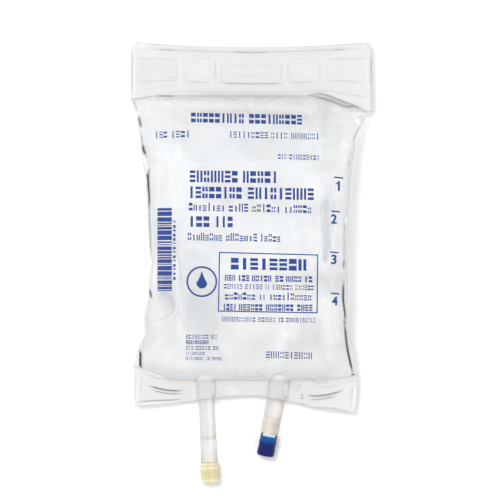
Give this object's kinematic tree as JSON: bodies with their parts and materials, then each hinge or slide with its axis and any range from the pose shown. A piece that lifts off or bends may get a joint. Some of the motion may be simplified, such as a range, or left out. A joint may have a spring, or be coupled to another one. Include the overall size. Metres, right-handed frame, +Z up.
{
  "type": "intravenous fluid bag",
  "caption": "Clear film bag of fluid lying on its back, with a hanger band, an injection port with a rubber bung and a spike port under a pull-off cap.",
  "frame": {"origin": "on the surface that the bag lies on, under the middle of its whole box", "axes": "+Y from the ports to the hanger band, +X across the bag, to the right as the print is read, +Z up from the back film to the printed front"},
  "size_m": [0.1316, 0.2444, 0.043],
  "materials": {
    "clear_film": "clear flexible film, softly glossy",
    "clear_fluid": "clear water-like fluid",
    "milky_vinyl": "milky translucent tube",
    "clear_vinyl": "clear tube with a grey edge",
    "cream_rubber": "matte cream rubber",
    "tinted_vinyl": "clear tube with a warm tint",
    "amber_vinyl": "translucent tan tube",
    "blue_cap": "glossy deep blue moulding"
  },
  "bodies": {
    "bag": {"film_bag": "clear_film", "fluid_fill": "clear_fluid", "injection_tube": "milky_vinyl", "injection_sleeve": "clear_vinyl", "injection_bung": "cream_rubber", "spike_tube": "tinted_vinyl", "membrane_tube": "amber_vinyl"},
    "cap": {"pull_off_cap": "blue_cap"}
  },
  "joints": [
    {"name": "cap_pull", "type": "slide", "parent": "bag", "child": "cap", "axis": [-0.1907, -0.9811, -0.0318], "range_m": [0, 0.016]}
  ]
}
